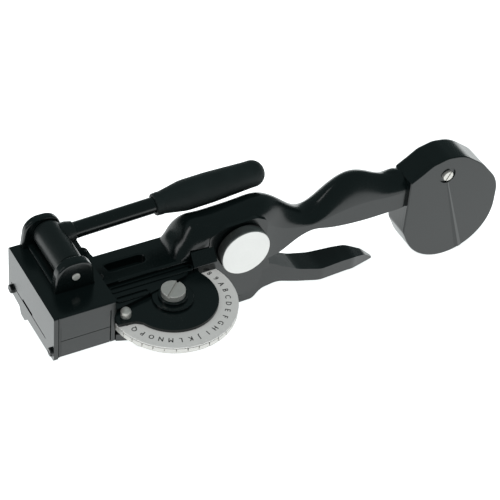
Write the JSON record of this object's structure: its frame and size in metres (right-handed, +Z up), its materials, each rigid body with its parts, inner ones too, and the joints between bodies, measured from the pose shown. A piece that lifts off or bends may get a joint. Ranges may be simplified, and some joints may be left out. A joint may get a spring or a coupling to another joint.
{
  "type": "label maker",
  "caption": "Hand-held embossing label maker for metal tape: letter wheel, feed knob, squeeze trigger, cut-off lever and reel magazine behind a waved handle.",
  "frame": {"origin": "centre of the bounding box at its underside, on the lowest point of the reel magazine", "axes": "+X from the tape exit towards the magazine, +Y away from the feed knob, +Z up along the letter wheel's axis"},
  "size_m": [0.2982, 0.0936, 0.0895],
  "materials": {
    "black_enamel": "gloss stove enamel",
    "satin_enamel": "satin black enamel",
    "grip_rubber": "matt moulded rubber",
    "dial_metal": "brushed, anodised",
    "wheel_steel": "machined",
    "screw_steel": "nickel plated",
    "dark_screw": "blackened steel",
    "knob_face": "bright turned",
    "knob_rim": "knurled, blackened",
    "inner_steel": "ground",
    "spring_steel": "drawn wire",
    "bronze": "oil-filled bronze",
    "roller_rubber": "ground rubber tyre",
    "tape_metal": "bare strip",
    "reel_plastic": "moulded"
  },
  "bodies": {
    "frame": {"body_casting": "black_enamel", "head_housing": "black_enamel", "end_plate": "black_enamel", "end_plate_screws": "dark_screw", "side_panel": "black_enamel", "pivot_bracket": "black_enamel", "pivot_pin": "screw_steel", "shear_anvil": "inner_steel", "blade_guide": "inner_steel", "wheel_cover": "black_enamel", "lower_frame": "black_enamel", "wheel_axle": "inner_steel", "wheel_screw": "screw_steel", "deck_screws": "dark_screw", "index_cap": "screw_steel", "near_bearing": "bronze", "far_bearing": "bronze", "pressure_axle": "inner_steel", "pawl_pin": "inner_steel", "trigger_spring": "spring_steel", "rocker_pin": "inner_steel", "rocker_housing": "black_enamel", "hammer_spring": "spring_steel", "magazine_shell": "black_enamel", "magazine_screw": "screw_steel", "tape_strip": "tape_metal"},
    "lever": {"cutter_cam": "satin_enamel", "lever_rod": "black_enamel", "lever_grip": "grip_rubber"},
    "cutter": {"cutter_blade": "inner_steel"},
    "wheel": {"letter_ring": "dial_metal", "die_wheel": "wheel_steel", "punch_wheel": "wheel_steel", "wheel_hub": "bronze"},
    "knob": {"feed_knob": "knob_rim", "knob_face": "knob_face", "feed_shaft": "inner_steel", "feed_roller": "roller_rubber", "feed_ratchet": "inner_steel"},
    "nip_roller": {"pressure_roller": "roller_rubber"},
    "pawl": {"ratchet_pawl": "inner_steel"},
    "trigger": {"trigger": "black_enamel"},
    "rocker": {"rocker_arm": "inner_steel"},
    "hammer": {"emboss_hammer": "inner_steel"},
    "magazine_door": {"magazine_cover": "black_enamel"},
    "reel": {"reel_core": "reel_plastic", "tape_coil": "tape_metal"}
  },
  "joints": [
    {"name": "lever_swing", "type": "hinge", "parent": "frame", "child": "lever", "pos_m": [-0.12737, 0.0204, 0.0764], "axis": [0, -1, 0], "range_deg": [0, 95]},
    {"name": "cutter_slide", "type": "slide", "parent": "frame", "child": "cutter", "axis": [0, 0, -1], "range_m": [0, 0.0023]},
    {"name": "wheel_turn", "type": "hinge", "parent": "frame", "child": "wheel", "pos_m": [-0.07587, -0.0108, 0.0474], "axis": [0, 0, 1], "continuous": true},
    {"name": "knob_turn", "type": "hinge", "parent": "frame", "child": "knob", "pos_m": [-0.02538, 0.0204, 0.058], "axis": [0, 1, 0], "continuous": true},
    {"name": "nip_turn", "type": "hinge", "parent": "frame", "child": "nip_roller", "pos_m": [-0.02538, 0.0204, 0.04085], "axis": [0, 1, 0], "continuous": true},
    {"name": "pawl_lift", "type": "hinge", "parent": "frame", "child": "pawl", "pos_m": [-0.01588, 0.0204, 0.0669], "axis": [0, 1, 0], "range_deg": [0, 6], "stiffness_Nm_per_rad": 0.01, "springref_deg": -2.86},
    {"name": "trigger_pull", "type": "hinge", "parent": "frame", "child": "trigger", "pos_m": [-0.02538, 0.0204, 0.058], "axis": [0, -1, 0], "range_deg": [0, 12], "stiffness_Nm_per_rad": 1.2, "springref_deg": -8.59},
    {"name": "rocker_tilt", "type": "hinge", "parent": "frame", "child": "rocker", "pos_m": [-0.04938, 0.0204, 0.0319], "axis": [0, 1, 0], "range_deg": [0, 1.4]},
    {"name": "hammer_lift", "type": "slide", "parent": "frame", "child": "hammer", "axis": [0, 0, 1], "range_m": [0, 0.00062], "stiffness_N_per_m": 400, "springref_m": -0.0005, "deforming": ["hammer_spring"]},
    {"name": "cover_swing", "type": "hinge", "parent": "frame", "child": "magazine_door", "pos_m": [0.11063, 0.0204, 0.0634], "axis": [0, -1, 0], "range_deg": [0, 110]},
    {"name": "reel_turn", "type": "hinge", "parent": "frame", "child": "reel", "pos_m": [0.11803, 0.0204, 0.0311], "axis": [0, 1, 0], "continuous": true}
  ],
  "couplings": [
    {"joint": "cutter_slide", "follows": "lever_swing", "m_per_rad": 0.0013269},
    {"joint": "nip_turn", "follows": "knob_turn", "ratio": -2.6304},
    {"joint": "rocker_tilt", "follows": "trigger_pull", "ratio": 0.10833},
    {"joint": "hammer_lift", "follows": "trigger_pull", "m_per_rad": 0.0028648}
  ]
}
